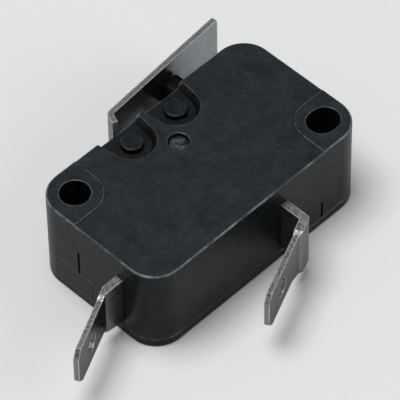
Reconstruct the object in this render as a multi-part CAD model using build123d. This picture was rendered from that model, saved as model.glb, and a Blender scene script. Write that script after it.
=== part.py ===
from build123d import *
import os
from math import atan, atan2, cos, degrees, radians, sin, tan

# Miniature snap-action switch of the 27.8 x 15.9 x 10.3 mm class, lying on its cover.
# Frame in millimetres: origin on the axis of the round mounting hole, at the underside.
# +X runs along the body towards the slotted hole, +Y towards the lever, +Z through the body.

CUT = 1.0                   # how far a cutting shape runs past the face it opens
JOIN = 0.2                  # how far two fused shapes reach into each other

# ---- body -------------------------------------------------------------------------------
body_length = 27.8
body_width = 15.9
body_thickness = 10.3
edge_to_hole = 2.8          # hole centre to the two outer faces of its corner
hole_radius = 1.5
slot_extra_length = 0.4     # how much longer than round the second hole is
corner_radius = 3.0
rim_radius = 0.2            # rounding of the outer top and bottom rims
wall = 1.5
roof = 1.65                 # thickness of the case roof below the main top face
pad_rise = 0.1              # the two hole pads stand this far above the top face
pad_radius = 2.7
boss_wall = 1.3             # plastic round each mounting hole

# ---- cover ------------------------------------------------------------------------------
cover_thickness = 1.05
seam_depth = 0.08           # how deep the seam line is cut into the sides
seam_height = 0.1           # each part's share of the height of the seam line
tongue_from_y = -4.85       # raised tongue of the cover, lapped into the left end wall
tongue_to_y = -0.2
tongue_height = 2.5
tongue_depth = 0.8
seam_gap = 0.05
slit_width = 0.25           # narrow mould slits that run up from the seam
slit_depth = 0.3
end_slit_y = -3.15
end_slit_top = 6.8
side_slit_to_hole = 3.0     # slit in the terminal face to the slotted hole's centre
side_slit_top = 3.3
pin_mark_radius = 1.0       # round ejector marks on the cover's outer face
pin_mark_depth = 0.08
pin_mark_inset = 4.0        # marks to the cover's edges

# ---- lever and its two sockets ----------------------------------------------------------
pivot_x = 8.2
pivot_depth = 1.92          # lever face to the pivot
pivot_to_plunger = 4.25     # the second, empty socket to the plunger
lever_sheet = 0.57
lever_angle = 5.0           # how far the free lever opens from the body, degrees
corner_along = 1.8          # pivot to the fold between tongue and plate, along the body
corner_out = 4.8            # the same, away from the body
lever_length = 15.5
lever_below = 1.55          # cover seam to the lever's lower edge
lever_above = 1.6           # lever's upper edge to the top face
lever_bend_radius = 0.4
lever_edge_radius = 0.25    # rounded corners at the lever's free end
shoulder_length = 1.2       # full-width flange before the narrow tongue starts
tongue_width = 2.3
bead_radius = 0.6
socket_play = 0.05
lever_press = 9.0           # full stroke of the lever, degrees
block_half_width = 1.5      # plastic round a socket inside the case
block_depth = 1.55

# ---- top face ---------------------------------------------------------------------------
recess_radius = 2.37
recess_flare = 0.28         # how much wider each side gets towards the lever face
recess_depth = 0.8
recess_draft = 30.0         # lean of the recess walls, degrees
button_radius = 1.1         # round button that marks a pivot, inside its recess
button_rise = 0.6
button_edge = 0.15          # rounding of a button's rim
dimple_to_pivot = 2.87      # dimple to the first pivot, along the body
dimple_to_face = 5.17       # dimple to the lever face
dimple_radius = 1.05
dimple_depth = 0.4
dimple_draft = 15.0

# ---- plunger ----------------------------------------------------------------------------
plunger_to_contact = 2.4
plunger_width = 2.2         # along the body
plunger_height = 3.0
plunger_corner = 0.6
plunger_play = 0.06
lever_gap = 0.1             # free lever to plunger tip
collar_width = 0.5          # collar that keeps the plunger in, beyond the stem
collar_height = 1.0
collar_gap = 0.1
tip_radius = 4.0
foot_width = 1.6

# ---- terminals --------------------------------------------------------------------------
strip_thickness = 0.85
strip_above = 0.85          # strips' upper edge to the case roof
tab_thickness = 0.53
tab_inset = 0.08            # a strip's face to its tab's, on the side towards the body
tab_width = 4.6
tab_step = 0.2              # strip's upper edge to the tab's
tab_taper = 0.5             # length over which the strip's height and thickness shrink to the tab's
tip_chamfer = 0.8
tab_hole_radius = 0.95
tab_hole_to_end = 3.45
strip_bend = 0.65           # bend radius on the centre line
fold_round = 0.5            # rounding on the outer side of a sharp fold
slot_play = 0.05
common_to_back = 4.57       # terminal face to the common strip's centre line
common_below = 0.65         # cover seam to the common strip's lower edge
common_reach = 1.8          # end wall to fold
common_angle = 26.0         # fold of the tab away from the end wall's normal
common_shoulder = 0.65      # fold to the start of the tab
common_tab = 7.13
common_rise = 0.5           # how much the strip's lower edge climbs on its way to the fold
common_low_taper = 0.6      # length over which the tab's lower edge climbs to its full height
common_step = 0.1           # start of the tab to the step in its upper edge
fixed_to_contact = 6.55     # fixed strip's centre line to the contacts
fixed_below = 0.65          # cover seam to the fixed strip's lower edge
fixed_reach = 2.62
fixed_angle = 24.0
fixed_shoulder = 1.6
fixed_tab = 8.4
fixed_low_taper = 2.2

# ---- snap mechanism ---------------------------------------------------------------------
blade_pivot_x = 5.0         # blade's pivot, from the round hole
blade_thickness = 0.3
blade_side_play = 0.2       # blade to each cheek
blade_overhang = 1.4        # blade's free end past the contacts
blade_bead = 0.35
bead_overhang = 0.1         # how far the blade's bead reaches past the cheeks
window_from_pivot = 1.8
window_to_contact = 5.9
window_rail = 0.8           # blade left on each side of its window
foot_gap = 0.08             # plunger foot to blade
contact_to_end = 4.4        # contacts' axis to the right end of the body
contact_radius = 1.4
contact_height = 0.6
contact_crown = 0.25        # how far the domed face stands above its rim
contact_shank = 0.75
rivet_head = 1.0
rivet_height = 0.3
rivet_shank = 0.6
contact_gap = 1.95
arm_over_boss = 0.5         # slotted hole's boss to the fixed terminal's arm
arm_past_contact = 2.4
support_sheet = 0.5
support_from_x = 3.0
support_to_x = 9.2
cheek_before = 0.8          # cheek's reach past the pivot, on its open side
cheek_after = 1.4
cheek_below = 1.55          # cover seam to the lower cheek
cheek_above = 0.7           # upper cheek to the case roof
cheek_rise = 0.95           # cheek above the blade's pivot
post_from_pivot = 3.4
post_under_blade = 1.45
rivet_x = 6.3
spring_sheet = 0.2
spring_play = 0.12
spring_side_play = 0.2
spring_sag = 1.3
spring_under_blade = 1.9
stop_width = 1.0
rib_width = 1.0

# ---- worked out from the values above ---------------------------------------------------
left = -edge_to_hole
right = left + body_length
front = edge_to_hole                       # lever face
back = front - body_width                  # terminal face
mid_x = (left + right) / 2
mid_y = (front + back) / 2
mid_z = body_thickness / 2
slot_x = right - edge_to_hole
slot_y = back + edge_to_hole
side_slit_x = slot_x - side_slit_to_hole
top = body_thickness - pad_rise            # main top face
ceiling = top - roof
inner_front = front - wall
inner_back = back + wall

contact_x = right - contact_to_end
plunger_x = contact_x - plunger_to_contact
pivot_y = front - pivot_depth
pivot_2_x = plunger_x - pivot_to_plunger
dimple_x = pivot_x + dimple_to_pivot
dimple_y = front - dimple_to_face
lever_corner = (pivot_x + corner_along, pivot_y + corner_out)
tongue_lean = degrees(atan(corner_along / corner_out))
lever_low_z = cover_thickness + lever_below
lever_high_z = top - lever_above
tongue_top = lever_low_z + tongue_width

strip_high_z = ceiling - strip_above
common_low_z = cover_thickness + common_below
fixed_low_z = cover_thickness + fixed_below
tab_high_z = strip_high_z - tab_step
tab_low_z = tab_high_z - tab_width
tab_hole_z = (tab_low_z + tab_high_z) / 2
tab_right = strip_thickness / 2 - tab_inset  # a strip's centre line to its tab's two faces
tab_left = tab_thickness - tab_right
common_y = back + common_to_back
strip_top = common_y + strip_thickness / 2
support_top = strip_top + support_sheet
fixed_x = contact_x - fixed_to_contact

arm_under = slot_y + hole_radius + boss_wall + arm_over_boss
arm_top = arm_under + strip_thickness
arm_end_x = contact_x + arm_past_contact
fixed_contact_top = arm_top + contact_height
blade_under = fixed_contact_top + contact_gap + contact_height
blade_y = blade_under + blade_thickness / 2
blade_top = blade_under + blade_thickness
blade_end_x = contact_x + blade_overhang
cheek_low_z = cover_thickness + cheek_below
cheek_high_z = ceiling - cheek_above
blade_low_z = cheek_low_z + support_sheet + blade_side_play
blade_high_z = cheek_high_z - support_sheet - blade_side_play
window_from_x = blade_pivot_x + window_from_pivot
window_to_x = contact_x - window_to_contact
window_low_z = blade_low_z + window_rail
window_high_z = blade_high_z - window_rail
post_x = blade_pivot_x + post_from_pivot
post_top_y = blade_y - post_under_blade
spring_seat_y = blade_y - spring_under_blade


def lever_face_y(x, pressed=0.0):
    """Height of the lever's inner face above a point x, with the lever pressed by an angle."""
    lean = radians(lever_angle)
    distance = corner_out * cos(lean) - corner_along * sin(lean) - lever_sheet / 2
    angle = radians(lever_angle - pressed)
    return pivot_y + distance / cos(angle) + (x - pivot_x) * tan(angle)


plunger_tip_y = lever_face_y(plunger_x) - lever_gap


# ---- small helpers ----------------------------------------------------------------------
def prism(face, low, high):
    """A flat face carried straight up from one height to another."""
    return extrude(Pos(0, 0, low) * face, amount=high - low)


def rectangle(x1, x2, y1, y2):
    """A rectangle given by its four sides."""
    return Pos((x1 + x2) / 2, (y1 + y2) / 2) * Rectangle(x2 - x1, y2 - y1)


def block(x1, x2, y1, y2, z1, z2):
    """A box given by its six sides."""
    return prism(rectangle(x1, x2, y1, y2), z1, z2)


def disc(x, y, radius):
    return Pos(x, y) * Circle(radius)


def ribbon(points, radius, thickness):
    """A sheet seen on edge: a centre line with rounded bends, given a thickness."""
    centre = FilletPolyline(*points, radius=radius) if radius else Polyline(*points)
    face = Sketch()
    for edge in centre.edges():
        if edge.geom_type == GeomType.LINE:
            middle = edge @ 0.5
            turn = degrees(atan2((edge @ 1 - edge @ 0).Y, (edge @ 1 - edge @ 0).X))
            face += Pos(middle.X, middle.Y) * Rot(0, 0, turn) * Rectangle(edge.length, thickness)
        else:
            face += bend(edge, thickness)
    return face


def bend(edge, thickness):
    """The sector of a ring that a bent stretch of sheet fills."""
    hub = edge.arc_center
    ring = disc(hub.X, hub.Y, edge.radius + thickness / 2)
    ring -= disc(hub.X, hub.Y, edge.radius - thickness / 2)
    reach = 4 * edge.radius
    start = (edge @ 0 - hub).normalized() * reach
    middle = (edge @ 0.5 - hub).normalized() * reach
    end = (edge @ 1 - hub).normalized() * reach
    corners = [(hub.X, hub.Y)]
    corners += [(hub.X + way.X, hub.Y + way.Y) for way in (start, middle, end)]
    return ring & make_face(Polyline(*corners, close=True))


def ahead(point, angle, length):
    """The point that lies a length away, at an angle from +X in degrees."""
    return (point[0] + length * cos(radians(angle)), point[1] + length * sin(radians(angle)))


# ---- outlines that several pieces share -------------------------------------------------
def body_outline(inset=0.0):
    outline = RectangleRounded(body_length - 2 * inset, body_width - 2 * inset, corner_radius - inset)
    return Pos(mid_x, mid_y) * outline


def mounting_holes(extra=0.0):
    """The round hole and the slotted one, both wider by the same extra radius."""
    slot = SlotCenterToCenter(slot_extra_length, 2 * (hole_radius + extra))
    return disc(0, 0, hole_radius + extra) + Pos(slot_x, slot_y) * slot


def hole_pads():
    """Raised corners round the holes: a disc squared off towards its two outer faces."""
    first = disc(0, 0, pad_radius)
    first += rectangle(left, 0, -pad_radius, front)
    first += rectangle(left, pad_radius, 0, front)
    second = disc(slot_x, slot_y, pad_radius)
    second += rectangle(slot_x, right, back, slot_y + pad_radius)
    second += rectangle(slot_x - pad_radius, right, back, slot_y)
    return (first + second) & body_outline()


def pivot_recess(x):
    """U-shaped recess open to the lever face, with slightly flared sides."""
    mouth = front - pivot_y + CUT
    wide = recess_radius + recess_flare * mouth / (front - pivot_y)
    sides = Polyline(
        (-recess_radius, 0), (-wide, mouth), (wide, mouth), (recess_radius, 0), close=True
    )
    return Pos(x, pivot_y) * (Circle(recess_radius) + make_face(sides))


def lever_socket(x, play):
    """Round seat of the lever's bead, and the wedge that its tongue sweeps on the way out."""
    half = lever_sheet / 2 + play
    reach = front - pivot_y + CUT
    rest = 90 - tongue_lean
    pressed = rest - lever_press
    rest_side = ahead((0, 0), rest + 90, half)
    pressed_side = ahead((0, 0), pressed - 90, half)
    wedge = Polyline(
        rest_side,
        ahead(rest_side, rest, reach),
        ahead(pressed_side, pressed, reach),
        pressed_side,
        close=True,
    )
    return Pos(x, pivot_y) * (Circle(bead_radius + play) + make_face(wedge))


# ---- case and cover ---------------------------------------------------------------------
def cavity():
    """Plan of the room inside the case, left by the hole bosses, socket blocks and ribs."""
    room = body_outline(wall)
    room -= disc(0, 0, hole_radius + boss_wall)
    room -= rectangle(left, 0, 0, front)
    room -= disc(slot_x, slot_y, hole_radius + boss_wall)
    room -= rectangle(slot_x, right, back, slot_y)
    for x in (pivot_x, pivot_2_x):
        room -= rectangle(x - block_half_width, x + block_half_width, pivot_y - block_depth, front)
    stop_bottom = blade_top + rivet_height + slot_play
    room -= rectangle(contact_x - stop_width / 2, contact_x + stop_width / 2, stop_bottom, front)
    strip_under = common_y - strip_thickness / 2 - slot_play
    for x in (support_from_x - rib_width, support_to_x - rib_width):
        room -= rectangle(x, x + rib_width, inner_back, strip_under)
    for x in (fixed_x + 2 * rib_width, arm_end_x - rib_width):
        room -= rectangle(x, x + rib_width, inner_back, arm_under - slot_play)
    return room


def common_slot(play):
    half = strip_thickness / 2 + play
    return rectangle(left - CUT, left + wall + JOIN, common_y - half, common_y + half)


def fixed_slot(play):
    half = strip_thickness / 2 + play
    return rectangle(fixed_x - half, fixed_x + half, back - CUT, inner_back + JOIN)


def cover_tongue(gap):
    """Raised tongue of the cover that laps into a notch in the left end wall."""
    plan = rectangle(left, left + tongue_depth + gap, tongue_from_y - gap, tongue_to_y + gap)
    return prism(plan & body_outline(), cover_thickness, cover_thickness + tongue_height + gap)


def case():
    seam_top = cover_thickness + seam_height
    shell = prism(body_outline(seam_depth), cover_thickness, seam_top)
    upper = prism(body_outline(), seam_top, top)
    rim = upper.edges().filter_by(Plane.XY).group_by(Axis.Z)[-1]
    shell += fillet(rim, rim_radius)
    shell += raised_pads()
    shell -= prism(cavity(), cover_thickness, ceiling)
    for x in (pivot_x, pivot_2_x):
        shell -= sunk(pivot_recess(x), recess_depth, recess_draft)
        shell += pivot_button(x)
        shell -= prism(lever_socket(x, socket_play), cover_thickness, tongue_top + socket_play)
    shell -= sunk(disc(dimple_x, dimple_y, dimple_radius), dimple_depth, dimple_draft)
    shell -= prism(mounting_holes(), 0, body_thickness)
    shell -= plunger_window()
    shell -= prism(common_slot(slot_play), cover_thickness, strip_high_z + slot_play)
    shell -= prism(fixed_slot(slot_play), cover_thickness, strip_high_z + slot_play)
    shell -= cover_tongue(seam_gap)
    shell -= mould_slits()
    return shell


def sunk(face, depth, draft):
    """The room of a hollow in the top face, whose walls lean inwards on the way down."""
    return extrude(Pos(0, 0, top) * face, amount=depth, dir=(0, 0, -1), taper=draft)


def pivot_button(x):
    """Round button on a recess's floor, with a softened rim."""
    low = top - recess_depth
    button = prism(disc(x, pivot_y, button_radius), low - JOIN, low + button_rise)
    return fillet(button.edges().group_by(Axis.Z)[-1], button_edge)


def raised_pads():
    """The two raised pads, their outer rim rounded as the case's is."""
    plan = hole_pads()
    pads = prism(plan, top - 2 * rim_radius, body_thickness)
    cap = prism(body_outline(), top - 2 * rim_radius, body_thickness)
    rim = cap.edges().filter_by(Plane.XY).group_by(Axis.Z)[-1]
    return pads & fillet(rim, rim_radius)


def plunger_window():
    section = plunger_section(plunger_play)
    return extrude(Pos(0, inner_front, 0) * section, amount=wall + CUT)


def plunger_section(play):
    """Rounded rectangle across the plunger's way, in the plane y = 0 and facing +Y."""
    section = RectangleRounded(plunger_width + 2 * play, plunger_height + 2 * play, plunger_corner)
    return Pos(plunger_x, 0, mid_z) * Rot(-90, 0, 0) * section


def mould_slits():
    half = slit_width / 2
    end_slit = rectangle(left - CUT, left + slit_depth, end_slit_y - half, end_slit_y + half)
    side_slit = rectangle(side_slit_x - half, side_slit_x + half, back - CUT, back + slit_depth)
    slits = prism(end_slit, cover_thickness + tongue_height, end_slit_top)
    return slits + prism(side_slit, cover_thickness, side_slit_top)


def cover():
    plate = prism(body_outline(), 0, cover_thickness - seam_height)
    rim = plate.edges().filter_by(Plane.XY).group_by(Axis.Z)[0]
    plate = fillet(rim, rim_radius)
    plate += prism(body_outline(seam_depth), cover_thickness - seam_height, cover_thickness)
    plate += cover_tongue(0)
    plate -= prism(mounting_holes(), 0, body_thickness)
    for x, y in pin_marks():
        plate -= prism(disc(x, y, pin_mark_radius), 0, pin_mark_depth)
    for key in slot_keys():
        plate += key
    return plate


def pin_marks():
    """Centres of the ejector marks: two corners without a hole, and one by each hole."""
    near_y = back + pin_mark_inset
    far_y = front - pin_mark_inset
    yield left + pin_mark_inset, near_y
    yield right - pin_mark_inset, far_y
    yield left + 2 * pin_mark_inset, far_y
    yield right - 2 * pin_mark_inset, near_y


def slot_keys():
    """Small keys that close the case's open slots from below, each with a little play."""
    inside = body_outline(2 * seam_depth)
    yield prism(common_slot(-slot_play) & inside, cover_thickness, common_low_z - slot_play)
    yield prism(fixed_slot(-slot_play) & inside, cover_thickness, fixed_low_z - slot_play)
    for x in (pivot_x, pivot_2_x):
        socket = lever_socket(x, -socket_play) & inside
        yield prism(socket, cover_thickness, lever_low_z - 2 * socket_play)


# ---- lever and plunger ------------------------------------------------------------------
def lever():
    """Bent sheet lever: wide plate, short flange, narrow tongue and a curled bead."""
    tip = ahead(lever_corner, lever_angle, lever_length)
    down = 270 - tongue_lean
    shoulder = ahead(lever_corner, down, shoulder_length)
    folded = ribbon([shoulder, lever_corner, tip], lever_bend_radius, lever_sheet)
    plate = prism(folded, lever_low_z, lever_high_z)
    free_end = plate.edges().filter_by(lambda e: e.length < 1.01 * lever_sheet).sort_by(Axis.X)[-2:]
    plate = fillet(free_end, lever_edge_radius)
    stalk = ribbon([(pivot_x, pivot_y), ahead(shoulder, down, -JOIN)], 0, lever_sheet)
    tongue = stalk + disc(pivot_x, pivot_y, bead_radius)
    return plate + prism(tongue, lever_low_z, tongue_top)


def plunger():
    """Rounded stem with a domed tip outside, and inside a collar and a rounded foot."""
    low = inner_front - collar_gap - collar_height
    stem = extrude(Pos(0, low, 0) * plunger_section(0), amount=plunger_tip_y - low)
    dome = Pos(plunger_x, plunger_tip_y - tip_radius, mid_z)
    stem &= dome * Cylinder(tip_radius, 2 * plunger_height)
    side = plunger_width / 2 + collar_width
    half = plunger_height / 2
    collar = block(
        plunger_x - side, plunger_x + side, low, low + collar_height,
        mid_z - half - collar_width, mid_z + half + collar_width,
    )
    foot_y = blade_top + foot_gap
    bulb_y = foot_y + foot_width / 2
    foot = rectangle(plunger_x - foot_width / 2, plunger_x + foot_width / 2, bulb_y, low)
    foot += disc(plunger_x, bulb_y, foot_width / 2)
    return stem + collar + prism(foot, mid_z - half, mid_z + half)


# ---- terminals --------------------------------------------------------------------------
def tab(start, angle, length, halves, low_z, low_taper, step):
    """Flat push-on tab with one hole and a chamfered tip, coined thinner than its strip."""
    side = Polyline(
        (-JOIN, low_z),
        (low_taper, tab_low_z),
        (length - tip_chamfer, tab_low_z),
        (length, tab_low_z + tip_chamfer),
        (length, tab_high_z - tip_chamfer),
        (length - tip_chamfer, tab_high_z),
        (step + tab_taper, tab_high_z),
        (step, strip_high_z),
        (-JOIN, strip_high_z),
        close=True,
    )
    left_half, right_half = halves
    above = Polyline(
        (-JOIN, left_half),
        (0, left_half),
        (tab_taper, tab_left),
        (length, tab_left),
        (length, -tab_right),
        (tab_taper, -tab_right),
        (0, -right_half),
        (-JOIN, -right_half),
        close=True,
    )
    blank = make_face(side) - Pos(length - tab_hole_to_end, tab_hole_z) * Circle(tab_hole_radius)
    way = Vector(cos(radians(angle)), sin(radians(angle)), 0)
    plane = Plane(origin=(start[0], start[1], 0), x_dir=way, z_dir=way.cross(Vector(0, 0, 1)))
    plan = Pos(start[0], start[1]) * Rot(0, 0, angle) * make_face(above)
    return extrude(plane * blank, amount=strip_thickness, both=True) & prism(plan, 0, top)


def meet(first, first_angle, second, second_angle):
    """The point where two lines cross, each given by a point and an angle."""
    gap_x = second[0] - first[0]
    gap_y = second[1] - first[1]
    across = gap_x * sin(radians(second_angle)) - gap_y * cos(radians(second_angle))
    return ahead(first, first_angle, across / sin(radians(second_angle - first_angle)))


def folded_strip(root, way, corner, angle, shoulder, halves, low_z):
    """Strip on edge with one sharp fold, rounded on its outer side. The two halves are its
    thickness left and right of the centre line behind the fold."""
    left_root = ahead(root, way + 90, strip_thickness / 2)
    right_root = ahead(root, way - 90, strip_thickness / 2)
    left_line = ahead(corner, angle + 90, halves[0])
    right_line = ahead(corner, angle - 90, halves[1])
    left_corner = meet(left_root, way, left_line, angle)
    right_corner = meet(right_root, way, right_line, angle)
    outline = Polyline(
        left_root,
        left_corner,
        ahead(left_line, angle, shoulder),
        ahead(right_line, angle, shoulder),
        right_corner,
        right_root,
        close=True,
    )
    strip = prism(make_face(outline), low_z, strip_high_z)
    outer = right_corner if angle > way else left_corner
    fold = strip.edges().filter_by(Axis.Z).sort_by_distance((outer[0], outer[1], mid_z))[0]
    return fillet(fold, fold_round)


def common_terminal():
    """Strip that carries the blade support, leaves through the end wall and folds back."""
    halves = (tab_left, tab_right)
    angle = 180 + common_angle
    corner = (left - common_reach, common_y)
    root = (support_to_x, common_y)
    strip = folded_strip(root, 180, corner, angle, common_shoulder, halves, common_low_z)
    strip -= climbing_edge()
    start = ahead(corner, angle, common_shoulder)
    low_z = common_low_z + common_rise
    strip += tab(start, angle, common_tab, halves, low_z, common_low_taper, common_step)
    return strip - rivet_bore(rivet_x, common_y, strip_thickness, rivet_shank)


def climbing_edge():
    """Wedge under the common strip that lets its lower edge climb outside the end wall."""
    fold_x = left - common_reach - common_shoulder
    far_x = fold_x - strip_thickness
    climbed_z = common_low_z + common_rise
    wedge = Polyline(
        (left, common_low_z), (fold_x, climbed_z), (far_x, climbed_z), (far_x, 0), (left, 0), close=True
    )
    plane = Plane(origin=(0, 0, 0), x_dir=(1, 0, 0), z_dir=(0, -1, 0))
    return extrude(plane * make_face(wedge), amount=body_width)


def fixed_terminal():
    """Strip with an arm under the moving contact, leaving through the terminal face."""
    halves = (strip_thickness / 2, strip_thickness / 2)
    angle = 180 + fixed_angle
    arm_y = (arm_under + arm_top) / 2
    arm = ribbon([(arm_end_x, arm_y), (fixed_x, arm_y), (fixed_x, back)], strip_bend, strip_thickness)
    corner = (fixed_x, back - fixed_reach)
    root = (fixed_x, inner_back)
    strip = prism(arm, fixed_low_z, strip_high_z)
    strip += folded_strip(root, 270, corner, angle, fixed_shoulder, halves, fixed_low_z)
    start = ahead(corner, angle, fixed_shoulder)
    strip += tab(start, angle, fixed_tab, halves, fixed_low_z, fixed_low_taper, 0)
    return strip - rivet_bore(contact_x, arm_y, strip_thickness, contact_shank)


def rivet_bore(x, y, depth, radius):
    """Round bore along Y through a strip centred on y."""
    return Pos(x, y, mid_z) * Rot(90, 0, 0) * Cylinder(radius, depth + JOIN)


# ---- snap mechanism ---------------------------------------------------------------------
def blade_support():
    """Folded bracket on the common strip: two notched cheeks and a post for the spring."""
    base = block(support_from_x, support_to_x, strip_top, support_top, cheek_low_z, cheek_high_z)
    cheek_from_x = blade_pivot_x - cheek_before
    cheek_to_x = blade_pivot_x + cheek_after
    cheek = rectangle(cheek_from_x, cheek_to_x, strip_top, blade_y + cheek_rise)
    notch = disc(blade_pivot_x, blade_y, blade_bead + socket_play)
    half = blade_bead + socket_play
    notch += rectangle(support_from_x, blade_pivot_x, blade_y - half, blade_y + half)
    for z in (cheek_low_z, cheek_high_z - support_sheet):
        base += prism(cheek - notch, z, z + support_sheet)
    post = block(post_x, post_x + support_sheet, strip_top, post_top_y, window_low_z, window_high_z)
    notch_depth = support_sheet / 2
    groove = Polyline(
        (post_x + support_sheet, spring_seat_y + notch_depth),
        (post_x + notch_depth, spring_seat_y),
        (post_x + support_sheet, spring_seat_y - notch_depth),
        close=True,
    )
    base += post - prism(make_face(groove), 0, body_thickness)
    return base - rivet_bore(rivet_x, (strip_top + support_top) / 2, support_sheet, rivet_shank)


def turned_rivet(stack):
    """A round rivet along +Y, given as (radius, height) steps from its lower end."""
    body = Part()
    y = 0.0
    for radius, height in stack:
        body += Pos(0, y + height / 2, 0) * Rot(90, 0, 0) * Cylinder(radius, height)
        y += height
    return body


def support_rivet():
    low = common_y - strip_thickness / 2 - rivet_height
    stack = [(rivet_head, rivet_height), (rivet_shank, strip_thickness + support_sheet)]
    stack += [(rivet_head, rivet_height)]
    return Pos(rivet_x, low, mid_z) * turned_rivet(stack)


def crowned(rivet, face_y, outward):
    """Gives a contact's face its shallow dome by keeping what lies inside a large ball."""
    ball = (contact_radius ** 2 + contact_crown ** 2) / (2 * contact_crown)
    return rivet & Pos(contact_x, face_y - outward * ball, mid_z) * Sphere(ball)


def moving_contact():
    low = blade_under - contact_height
    stack = [(contact_radius, contact_height), (contact_shank, blade_thickness), (rivet_head, rivet_height)]
    return crowned(Pos(contact_x, low, mid_z) * turned_rivet(stack), low, -1)


def fixed_contact():
    low = arm_under - rivet_height
    stack = [(rivet_head, rivet_height), (contact_shank, strip_thickness), (contact_radius, contact_height)]
    return crowned(Pos(contact_x, low, mid_z) * turned_rivet(stack), fixed_contact_top, 1)


def moving_blade():
    """Stiff blade with a window for the spring and a curled bead that turns in the cheeks."""
    blade = block(blade_pivot_x, blade_end_x, blade_under, blade_top, blade_low_z, blade_high_z)
    blade -= block(window_from_x, window_to_x, blade_under, blade_top, window_low_z, window_high_z)
    trunnion = disc(blade_pivot_x, blade_y, blade_bead)
    blade += prism(trunnion, cheek_low_z - bead_overhang, cheek_high_z + bead_overhang)
    return blade - rivet_bore(contact_x, blade_y, blade_thickness, contact_shank)


def snap_spring():
    """Bowed leaf pressed between the post's notch and the far edge of the blade's window."""
    seat = (post_x + support_sheet / 2 + spring_play, spring_seat_y)
    edge = (window_to_x - spring_play, blade_y)
    middle = ((seat[0] + edge[0]) / 2, (seat[1] + edge[1]) / 2 - spring_sag)
    bow = ThreePointArc(seat, middle, edge)
    leaf = bend(bow.edge(), spring_sheet)
    return prism(leaf, window_low_z + spring_side_play, window_high_z - spring_side_play)


NODES = {
    "case": case,
    "cover": cover,
    "lever": lever,
    "plunger": plunger,
    "common_terminal": common_terminal,
    "fixed_terminal": fixed_terminal,
    "blade_support": blade_support,
    "support_rivet": support_rivet,
    "moving_blade": moving_blade,
    "moving_contact": moving_contact,
    "fixed_contact": fixed_contact,
    "snap_spring": snap_spring,
}

os.makedirs("parts", exist_ok=True)
for name, make in NODES.items():
    export_step(make(), f"parts/{name}.step")
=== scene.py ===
"""Dresses a miniature lever switch: moulded case, tinned terminals, sheet-steel lever."""
from functools import partial
from math import cos, radians, sin

import bpy
import numpy as np
from mathutils import Matrix, Vector


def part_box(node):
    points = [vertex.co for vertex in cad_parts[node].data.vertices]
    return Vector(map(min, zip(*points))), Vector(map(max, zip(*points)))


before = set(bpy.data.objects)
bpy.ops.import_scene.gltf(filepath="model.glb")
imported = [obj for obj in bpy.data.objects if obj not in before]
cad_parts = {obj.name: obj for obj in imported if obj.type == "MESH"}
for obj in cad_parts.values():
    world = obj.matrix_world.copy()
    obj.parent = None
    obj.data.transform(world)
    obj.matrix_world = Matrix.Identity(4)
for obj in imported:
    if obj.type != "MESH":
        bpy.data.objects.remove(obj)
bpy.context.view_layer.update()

MM = 0.001
case_low, case_high = (np.array(corner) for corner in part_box("case"))
PAD_RISE = 0.1 * MM          # how far the two hole pads stand above the top face
TOP = case_high[2] - PAD_RISE
CORNER = 3.0 * MM            # corner radius of the case, seen from above
RECESS_DEPTH = 0.8 * MM      # top face to the floors of the two recesses
GATE = (11.07 * MM, -2.37 * MM)    # centre of the sunk mark where the mould was filled
GATE_SCAR = 0.9 * MM         # how far the torn plastic reaches from that centre
BUTTONS = ((8.2 * MM, 0.88 * MM), (13.95 * MM, 0.88 * MM))    # centres of the round buttons
BUTTON_REACH = 1.2 * MM      # just past the rounded rim of a button


# ---- colour and nodes -------------------------------------------------------------------
def colour(code):
    """An sRGB hex code as the linear RGBA that the renderer works in."""
    values = np.array([int(code[i:i + 2], 16) for i in (1, 3, 5)]) / 255
    linear = np.where(values <= 0.04045, values / 12.92, ((values + 0.055) / 1.055) ** 2.4)
    return (*linear.tolist(), 1.0)


def add(tree, kind, inputs=(), out=0, **settings):
    """Adds one shader node and gives back its output out, if it has any. settings are the node's
    properties. inputs are its sockets in order, or by name or number: another node's output is
    linked, and a value is set. A Mix node keeps its amount in socket 0, its two colours in 6
    and 7, and gives a colour at output 2."""
    node = tree.nodes.new("ShaderNode" + kind)
    for name, value in settings.items():
        setattr(node, name, value)
    slots = inputs.items() if isinstance(inputs, dict) else enumerate(inputs)
    for slot, value in slots:
        if isinstance(value, bpy.types.NodeSocket):
            tree.links.new(value, node.inputs[slot])
        else:
            node.inputs[slot].default_value = value
    return node.outputs[out] if node.outputs else None


def new_material(name):
    """An empty material, with the function that adds a node to it."""
    material = bpy.data.materials.new(name)
    material.use_nodes = True
    material.node_tree.nodes.clear()
    return material, partial(add, material.node_tree)


def per_mm(size):
    """Noise scale whose features are about this many millimetres across."""
    return 1 / (size * MM)


# ---- patterns: each gives 1 where its mark is and 0 where it isn't -----------------------
def facing(node, direction):
    """How squarely a surface faces along a direction of the object, either way."""
    normal = node("NewGeometry", out="True Normal")
    along = node("VectorMath", (normal, direction), out="Value", operation="DOT_PRODUCT")
    return node("Math", (along,), operation="ABSOLUTE")


def convex_edge(node, reach, low, high):
    """Outer edges, fading inwards: seen from inside the solid, only such an edge has another
    face close by."""
    inside = node(
        "AmbientOcclusion", {"Distance": reach}, out="AO", samples=6, inside=True, only_local=True
    )
    return node("MapRange", (inside, high, low))


def crevice(node, reach, low, high, alone=True):
    """Inner corners, fading outwards; with alone off, what lies close to other pieces too."""
    outside = node("AmbientOcclusion", {"Distance": reach}, out="AO", samples=6, only_local=alone)
    return node("MapRange", (outside, high, low))


def near(node, where, place, reach):
    """A disc of a given reach round a place, seen from above."""
    flat = node("VectorMath", (where, (1, 1, 0)), operation="MULTIPLY")
    away = node("VectorMath", (flat, (*place, 0)), out="Value", operation="DISTANCE")
    return node("MapRange", (away, reach, 0.8 * reach))


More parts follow.
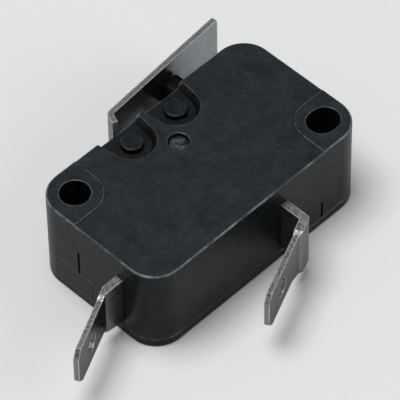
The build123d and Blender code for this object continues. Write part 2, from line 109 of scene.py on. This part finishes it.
def outline_band(node, where, low, high, corner, depth):
    """A band along the outline of a rounded rectangle, seen from above: the distance is that of
    a point to the rectangle shrunk by its corner radius, |p - middle| - half, kept above 0."""
    middle, half = (low + high) / 2, (high - low) / 2 - corner
    away = node("VectorMath", (where, (*middle, 0)), operation="SUBTRACT")
    away = node("VectorMath", (away,), operation="ABSOLUTE")
    away = node("VectorMath", (away, (*half, 0)), operation="SUBTRACT")
    away = node("VectorMath", (away, (0, 0, 0)), operation="MAXIMUM")
    away = node("VectorMath", (away, (1, 1, 0)), operation="MULTIPLY")
    distance = node("VectorMath", (away,), out="Value", operation="LENGTH")
    return node("MapRange", (distance, corner - depth, corner - 0.8 * depth))


def scratches(node, where, turn, length, width, rarity):
    """Thin straight hairlines in one direction, of a length and width in millimetres."""
    turned = node("Mapping", {"Vector": where, "Rotation": (0, 0, radians(turn))})
    drawn_out = node("Mapping", {"Vector": turned, "Scale": (width / length, 1, 1)})
    lines = node("TexNoise", {"Vector": drawn_out, "Scale": per_mm(width), "Detail": 1})
    return node("MapRange", (lines, rarity, rarity + 0.05))


# ---- the case's marks -------------------------------------------------------------------
def hairlines(node, where, flat, gathered):
    """Scuffs in two directions, on level faces only and where the specks gather."""
    one_way = scratches(node, where, 28, 3.0, 0.07, 0.73)
    other_way = scratches(node, where, -41, 2.2, 0.06, 0.74)
    lines = node("Math", (one_way, other_way), operation="MAXIMUM")
    worn = node("Math", (flat, gathered), operation="MULTIPLY")
    return node("Math", (lines, worn), operation="MULTIPLY")


def gate_scar(node, where):
    """Torn patches in the small round mark."""
    patches = node("TexNoise", {"Vector": where, "Scale": per_mm(0.5), "Detail": 4})
    patches = node("MapRange", (patches, 0.45, 0.6))
    inside = near(node, where, GATE, GATE_SCAR)
    return node("Math", (inside, patches), operation="MULTIPLY")


def recess_floors(node, height, flat, band):
    """The two recesses, deepening from just under the top face to their floors. The outer walls
    at that height are left out: they stand in the band and aren't level."""
    inner = node("Math", (1.0, band), operation="SUBTRACT")
    inner = node("Math", (flat, inner), operation="MAXIMUM")
    deep = node("MapRange", (height, TOP - RECESS_DEPTH, TOP - 0.05 * MM, 1.0, 0.0))
    deep = node("Math", (inner, deep), operation="MULTIPLY")
    above = node("MapRange", (height, TOP - RECESS_DEPTH - 0.1 * MM, TOP - RECESS_DEPTH - 0.05 * MM))
    return node("Math", (deep, above), operation="MULTIPLY")


def rim_wear_and_highlight_mask(node, where, height, upright, band, patchy):
    """The rounded rim round the top, sloping there, rubbed in long stretches and in patches; its pale tone
    is partly wear and partly a painted highlight.
    """
    rim = node("MapRange", (upright, 0.1, 0.3))
    for limit in (
        node("MapRange", (upright, 0.95, 0.99, 1.0, 0.0)),
        node("MapRange", (height, case_high[2] - 0.5 * MM, case_high[2] - 0.4 * MM)),
        band,
    ):
        rim = node("Math", (rim, limit), operation="MULTIPLY")
    stretches = node("TexNoise", {"Vector": where, "Scale": per_mm(3.0), "Detail": 1})
    stretches = node("MapRange", (stretches, 0.4, 0.6, 0.35, 1.0))
    rim = node("Math", (rim, stretches), operation="MULTIPLY")
    return node("Math", (rim, node("MapRange", (patchy, 0, 1, 0.3, 1.0))), operation="MULTIPLY")


def case_relief(node, where, grain, flat, lines, scar):
    """Height of the skin: eroded grain and ripples on level faces, slow waves everywhere,
    scratches cut in and torn plastic standing up."""
    ripples = node("TexNoise", {"Vector": where, "Scale": per_mm(0.7), "Detail": 3, "Roughness": 0.55})
    ripples = node("Math", (ripples, flat), operation="MULTIPLY")
    waves = node("TexNoise", {"Vector": where, "Scale": per_mm(2.6)})
    relief = node("Math", (grain, flat), operation="MULTIPLY")
    for mark, amount in ((waves, 1.6), (ripples, 3.0), (lines, -0.3), (scar, 2.0)):
        relief = node("Math", (mark, amount, relief), operation="MULTIPLY_ADD")
    return relief


# ---- materials --------------------------------------------------------------------------
def moulded_case_plastic():
    """Glass-filled PBT from a spark-eroded mould: near-black, fine grain and hairlines on top,
    smoother and darker sides, scattered pale fibre specks, edges rubbed grey and partly painted
    paler as a highlight, and painted shade in inner corners and on the recess floors. The grain
    is drawn at 0.14 mm, coarser than the real one, so that it shows."""
    material, node = new_material("moulded_glass_filled_pbt")
    where = node("TexCoord", out="Object")
    height = node("SeparateXYZ", (where,), out="Z")
    upright = facing(node, (0, 0, 1))
    flat = node("MapRange", (upright, 0.6, 0.95))
    band = outline_band(node, where, case_low[:2], case_high[:2], CORNER, 0.3 * MM)
    patchy = node("TexNoise", {"Vector": where, "Scale": per_mm(0.9), "Detail": 4, "Roughness": 0.65})
    patchy = node("MapRange", (patchy, 0.38, 0.6))
    gathered = node("TexNoise", {"Vector": where, "Scale": per_mm(1.3), "Detail": 1})
    gathered = node("MapRange", (gathered, 0.4, 0.56))
    specks = node("TexNoise", {"Vector": where, "Scale": per_mm(0.13), "Detail": 1})
    specks = node("MapRange", (specks, 0.708, 0.77))
    specks = node("Math", (specks, gathered), operation="MULTIPLY")
    lines = hairlines(node, where, flat, gathered)
    scar = gate_scar(node, where)
    # Recess floors: painted darker as shade that deepens towards the floor; the same mask also takes some
    # gloss off them.
    shaded_floors = recess_floors(node, height, flat, band)

    # Edges burnished by handling, where the rounded surface turns upwards; their pale tone below is partly
    # wear and partly a painted highlight.
    rounded = node("Bevel", {"Radius": 0.12 * MM}, samples=6)
    rising = node("Math", (node("SeparateXYZ", (rounded,), out="Z"),), operation="ABSOLUTE")
    rising = node("MapRange", (rising, 0.05, 0.35))
    burnished = convex_edge(node, 0.13 * MM, 0.6, 0.97)
    burnished = node("Math", (burnished, rising), operation="MULTIPLY")
    rubbed = node("Math", (patchy, 0.5), operation="MULTIPLY")
    rubbed = node("Math", (burnished, rubbed), operation="MULTIPLY")
    rim_wear_and_highlight = rim_wear_and_highlight_mask(node, where, height, upright, band, patchy)
    rubbed = node("Math", (rubbed, rim_wear_and_highlight), operation="MAXIMUM")

    cloud = node("TexNoise", {"Vector": where, "Scale": per_mm(1.6), "Detail": 4, "Roughness": 0.6})
    cloud = node("MapRange", (cloud, 0.3, 0.7))
    side = node("MapRange", (flat, 0, 1, 1.0, 0.0))
    # Painted shade: inner corners and what lies within 0.9 mm of another face are darkened as if shade
    # falls there.
    crevice_shade = crevice(node, 0.9 * MM, 0.5, 1.0)
    body = colour("#080b0e")
    # Among these tones, the inner-corner and recess-floor darkening is painted shade, and the pale tone on
    # edges and the top rim is partly wear and partly a painted highlight.
    for mask, share, tone in (
        (cloud, 1.0, "#1c2328"),
        (side, 0.35, "#040506"),
        (specks, 0.5, "#70767a"),
        (lines, 0.35, "#5e6468"),
        (crevice_shade, 0.85, "#050607"),
        (shaded_floors, 0.5, "#040505"),
        (scar, 0.75, "#4a5055"),
        (rubbed, 1.0, "#767a7b"),
    ):
        amount = node("Math", (mask, share), operation="MULTIPLY")
        body = node("Mix", {0: amount, 6: body, 7: colour(tone)}, out=2, data_type="RGBA")

    grain = node("TexNoise", {"Vector": where, "Scale": per_mm(0.14), "Detail": 3, "Roughness": 0.6})
    relief = case_relief(node, where, grain, flat, lines, scar)
    normal = node("Bump", {"Height": relief, "Strength": 0.6, "Distance": 0.03 * MM, "Normal": rounded})

    # The buttons come from polished pins in the mould, so they are smoother than the top.
    discs = [near(node, where, place, BUTTON_REACH) for place in BUTTONS]
    smooth = node("Math", discs, operation="MAXIMUM")
    rough = node("MapRange", (flat, 0, 1, 0.36, 0.52))
    rough = node("Math", (rough, node("MapRange", (grain, 0.3, 0.7, -0.05, 0.06))), operation="ADD")
    rough = node("Math", (burnished, -0.2, rough), operation="MULTIPLY_ADD")
    rough = node("Math", (smooth, -0.1, rough), operation="MULTIPLY_ADD")
    gloss = node("MapRange", (flat, 0, 1, 0.14, 0.26))
    gloss = node("Math", (burnished, 0.7, gloss), operation="MULTIPLY_ADD")
    for mask, left in ((shaded_floors, 0.6), (smooth, 0.7)):
        kept = node("MapRange", (mask, 0, 1, 1.0, left))
        gloss = node("Math", (gloss, kept), operation="MULTIPLY")
    surface = node("BsdfPrincipled", {
        "Base Color": body, "Roughness": rough, "IOR": 1.5, "Normal": normal,
        "Specular IOR Level": gloss,
    })
    node("OutputMaterial", {"Surface": surface})
    return material


def plunger_plastic():
    """Polished phenolic, black with a brown cast, slightly streaked where it slides."""
    material, node = new_material("polished_phenolic")
    where = node("TexCoord", out="Object")
    drawn_out = node("Mapping", {"Vector": where, "Scale": (1, 0.12, 1)})
    streaks = node("TexNoise", {"Vector": drawn_out, "Scale": per_mm(0.25), "Detail": 3})
    cast = node("MapRange", (streaks, 0.3, 0.7))
    body = node("Mix", {0: cast, 6: colour("#050304"), 7: colour("#0b0708")}, out=2, data_type="RGBA")
    surface = node("BsdfPrincipled", {
        "Base Color": body,
        "Roughness": node("MapRange", (streaks, 0.3, 0.7, 0.45, 0.55)),
        "Specular IOR Level": 0.1,
        "Normal": node("Bump", {"Height": streaks, "Strength": 0.3, "Distance": 0.01 * MM}),
    })
    node("OutputMaterial", {"Surface": surface})
    return material


def sheet_metal(name, faces, stain, cut, core, rolled, polish, ends):
    """Plated sheet: rolled streaks on its faces, dull stains, and sheared rims that show a
    rubbed band and a torn, duller band; pale upright cuts as a painted highlight, worn edges that
    are partly wear and partly a painted highlight, and painted shade where the sheet lies close to
    the case. rolled draws out the streaks, and ends lists the ways that its upright cuts face, in
    degrees from +X."""
    material, node = new_material(name)
    where = node("TexCoord", out="Object")
    drawn_out = node("Mapping", {"Vector": where, "Scale": rolled})
    streaks = node("TexNoise", {"Vector": drawn_out, "Scale": per_mm(0.12), "Detail": 4, "Roughness": 0.6})
    stains = node("TexNoise", {"Vector": where, "Scale": per_mm(1.1), "Detail": 4, "Roughness": 0.6})
    torn = node("TexNoise", {"Vector": where, "Scale": per_mm(0.3), "Detail": 4, "Roughness": 0.65})
    torn = node("MapRange", (torn, 0.4, 0.62))
    patchy = node("TexNoise", {"Vector": where, "Scale": per_mm(0.5), "Detail": 3, "Roughness": 0.6})
    patchy = node("MapRange", (patchy, 0.35, 0.6, 0.35, 1.0))

    # Where: level cuts, upright cuts, painted shade on what is tucked in beside the case, and worn edges
    # that also carry a painted highlight.
    rim = node("MapRange", (facing(node, (0, 0, 1)), 0.25, 0.5))
    end = 0.0
    for turn in map(radians, ends):
        cut_off = node("MapRange", (facing(node, (cos(turn), sin(turn), 0)), 0.985, 0.995))
        end = node("Math", (cut_off, end), operation="MAXIMUM")
    # Painted shade: faces close to the case or other pieces are darkened as if its shade and dark
    # reflection fall on them.
    shade_beside_case = crevice(node, 3.5 * MM, 0.25, 0.8, alone=False)
    face = node("Math", (1.0, rim), operation="SUBTRACT")
    shade_beside_case = node("Math", (shade_beside_case, face), operation="MULTIPLY")
    # Worn edges: a near-white tone that is partly wear and partly a painted highlight, made smoother below
    # so they glint.
    worn = node("Math", (convex_edge(node, 0.1 * MM, 0.62, 0.95), patchy), operation="MULTIPLY")

    stained = node("MapRange", (stains, 0.45, 0.75))
    plated = node("Mix", {0: stained, 6: colour(faces), 7: colour(stain)}, out=2, data_type="RGBA")
    sheared = node("Mix", {0: torn, 6: colour(cut), 7: colour(core)}, out=2, data_type="RGBA")
    # Upright cuts: the sheared metal's tone, painted pale as a highlight.
    end_cut_and_highlight = node("Mix", {0: torn, 6: colour("#d4d3c8"), 7: colour("#aeada2")}, out=2, data_type="RGBA")
    body = plated
    for mask, share, tone in (
        (rim, 1.0, sheared),
        (end, 1.0, end_cut_and_highlight),
        (shade_beside_case, 0.65, colour("#26282a")),
        (worn, 0.9, colour("#f0f0ec")),
    ):
        amount = node("Math", (mask, share), operation="MULTIPLY")
        body = node("Mix", {0: amount, 6: body, 7: tone}, out=2, data_type="RGBA")

    rough = node("MapRange", (streaks, 0.3, 0.7, polish - 0.04, polish + 0.06))
    rough = node("Math", (stained, 0.08, rough), operation="MULTIPLY_ADD")
    rough = node("Math", (rim, node("MapRange", (torn, 0, 1, 0.2, 0.32)), rough), operation="MULTIPLY_ADD")
    rough = node("Math", (worn, -0.2, rough), operation="MULTIPLY_ADD")

    # Oxide and torn metal scatter light as a paint does, so they count as less metallic; so do the painted
    # shade beside the case and the painted highlights on pale cuts and worn edges, so that their tones
    # show.
    dull = 0.0
    for mask, share in ((rim, 0.28), (end, 0.88), (shade_beside_case, 0.3), (worn, 0.4)):
        dull = node("Math", (node("Math", (mask, share), operation="MULTIPLY"), dull), operation="MAXIMUM")
    metal = node("Math", (1.0, dull), operation="SUBTRACT")

    rounded = node("Bevel", {"Radius": 0.07 * MM}, samples=6)
    ragged = node("Math", (torn, rim), operation="MULTIPLY")
    relief = node("Math", (ragged, 2.5, streaks), operation="MULTIPLY_ADD")
    normal = node("Bump", {"Height": relief, "Strength": 0.3, "Distance": 0.008 * MM, "Normal": rounded})
    surface = node("BsdfPrincipled", {
        "Base Color": body, "Metallic": metal, "Roughness": rough, "Normal": normal,
        "Specular Tint": colour("#c4c5c6"),
    })
    node("OutputMaterial", {"Surface": surface})
    return material


def lever_steel():
    """Bright-rolled nickel-plated spring steel: satin faces with rolling lines along X."""
    free_end, flange_end = 5.0, 249.45
    return sheet_metal(
        "bright_rolled_steel", faces="#989b9d", stain="#8d9091", cut="#858684", core="#6b6b68",
        rolled=(0.06, 1, 1), polish=0.2, ends=(free_end, flange_end),
    )


def terminal_plate():
    """Tin-plated brass strip: pale grey, faintly mottled, its cuts tinned too but duller."""
    return sheet_metal(
        "tin_plated_brass", faces="#818383", stain="#767673", cut="#91908d", core="#4d4c4a",
        rolled=(0.1, 0.1, 1), polish=0.22, ends=(),
    )


def bare_alloy(name, pale, deep, polish):
    """Bare rolled copper alloy or silver: warm metal with faint tarnish clouds."""
    material, node = new_material(name)
    where = node("TexCoord", out="Object")
    cloud = node("TexNoise", {"Vector": where, "Scale": per_mm(0.8), "Detail": 4, "Roughness": 0.6})
    cloud = node("MapRange", (cloud, 0.35, 0.7))
    drawn_out = node("Mapping", {"Vector": where, "Scale": (0.08, 1, 1)})
    lines = node("TexNoise", {"Vector": drawn_out, "Scale": per_mm(0.1), "Detail": 3})
    surface = node("BsdfPrincipled", {
        "Base Color": node("Mix", {0: cloud, 6: colour(pale), 7: colour(deep)}, out=2, data_type="RGBA"),
        "Metallic": 1.0,
        "Roughness": node("MapRange", (lines, 0.3, 0.7, polish, polish + 0.12)),
        "Normal": node("Bump", {"Height": lines, "Strength": 0.25, "Distance": 0.006 * MM}),
    })
    node("OutputMaterial", {"Surface": surface})
    return material


def pale_paper():
    """Matt studio paper with a barely visible tooth."""
    material, node = new_material("pale_studio_paper")
    where = node("TexCoord", out="Object")
    tooth = node("TexNoise", {"Vector": where, "Scale": per_mm(0.6)})
    body = node("Mix", {0: tooth, 6: colour("#dcdddd"), 7: colour("#dfe0e0")}, out=2, data_type="RGBA")
    surface = node("BsdfPrincipled", {"Base Color": body, "Roughness": 0.9})
    node("OutputMaterial", {"Surface": surface})
    return material


def dress(finish, *pieces):
    """Gives CAD nodes their finish in place of the flat one they came with."""
    for piece in pieces:
        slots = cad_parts[piece].data.materials
        slots.clear()
        slots.append(finish)


# ---- stage, lights and camera -----------------------------------------------------------
def floor():
    """Level ground under the object: a square grid of points at height 0."""
    reach = np.linspace(-1.5, 1.5, 4)
    x, y = np.meshgrid(reach, reach, indexing="ij")
    points = np.stack([x, y, np.zeros_like(x)], axis=-1).reshape(-1, 3)
    index = np.arange(x.size).reshape(x.shape)
    corners = (index[:-1, :-1], index[1:, :-1], index[1:, 1:], index[:-1, 1:])
    faces = np.stack([corner.ravel() for corner in corners], axis=1)
    mesh = bpy.data.meshes.new("floor")
    mesh.from_pydata(points.tolist(), [], faces.tolist())
    mesh.update()
    mesh.materials.append(pale_paper())
    ground = bpy.data.objects.new("floor", mesh)
    bpy.context.scene.collection.objects.link(ground)


def area_light(name, place, aim, size, power):
    lamp = bpy.data.lights.new(name, "AREA")
    lamp.shape = "DISK"
    lamp.size = size
    lamp.energy = power
    holder = bpy.data.objects.new(name, lamp)
    holder.location = place
    holder.rotation_euler = (aim - place).to_track_quat("-Z", "Y").to_euler()
    bpy.context.scene.collection.objects.link(holder)


def lights():
    """One broad soft source almost overhead, one weak fill from the terminal side."""
    centre = Vector((case_low + case_high) / 2)
    area_light("key", centre + Vector((-0.12, 0.10, 0.72)), centre, size=0.45, power=4.5)
    area_light("fill", centre + Vector((0.30, -0.55, 0.35)), centre, size=0.5, power=1.2)
    world = bpy.data.worlds.new("studio")
    world.use_nodes = True
    background = world.node_tree.nodes["Background"]
    background.inputs["Color"].default_value = colour("#eef0f2")
    background.inputs["Strength"].default_value = 0.25
    bpy.context.scene.world = world


def camera():
    """Looks down over the corner between the end wall and the terminal face, from a distance
    along way. level lies flat across the view, and roll tips it about way."""
    turn, drop, roll = radians(44.61), radians(50.13), radians(-1.02)
    distance = 367.4 * MM
    aim = Vector((11.1 * MM, -5.15 * MM, 5.0 * MM))
    way = Vector((sin(turn) * cos(drop), cos(turn) * cos(drop), -sin(drop)))
    level = Vector((cos(turn), -sin(turn), 0))
    rising = level.cross(way)
    across = level * cos(roll) + rising * sin(roll)
    upward = rising * cos(roll) - level * sin(roll)
    lens = bpy.data.cameras.new("camera")
    lens.sensor_width = 36
    lens.lens = 354.1365
    lens.shift_x = -0.001625
    lens.shift_y = -0.017325
    lens.clip_start = 10 * MM
    holder = bpy.data.objects.new("camera", lens)
    axes = Matrix((across, upward, -way)).transposed().to_4x4()
    holder.matrix_world = Matrix.Translation(aim - way * distance) @ axes
    bpy.context.scene.collection.objects.link(holder)
    bpy.context.scene.camera = holder


bpy.context.scene.view_settings.view_transform = "Standard"
floor()
lights()
camera()
dress(moulded_case_plastic(), "case", "cover")
dress(plunger_plastic(), "plunger")
dress(lever_steel(), "lever", "snap_spring")
dress(terminal_plate(), "common_terminal", "fixed_terminal")
dress(bare_alloy("spring_bronze", "#c08a5c", "#9a6a45", 0.25), "moving_blade")
dress(bare_alloy("rolled_brass", "#c7ab6a", "#9f8650", 0.25), "blade_support", "support_rivet")
dress(bare_alloy("silver_alloy", "#dcdad4", "#b5b1a8", 0.2), "moving_contact", "fixed_contact")
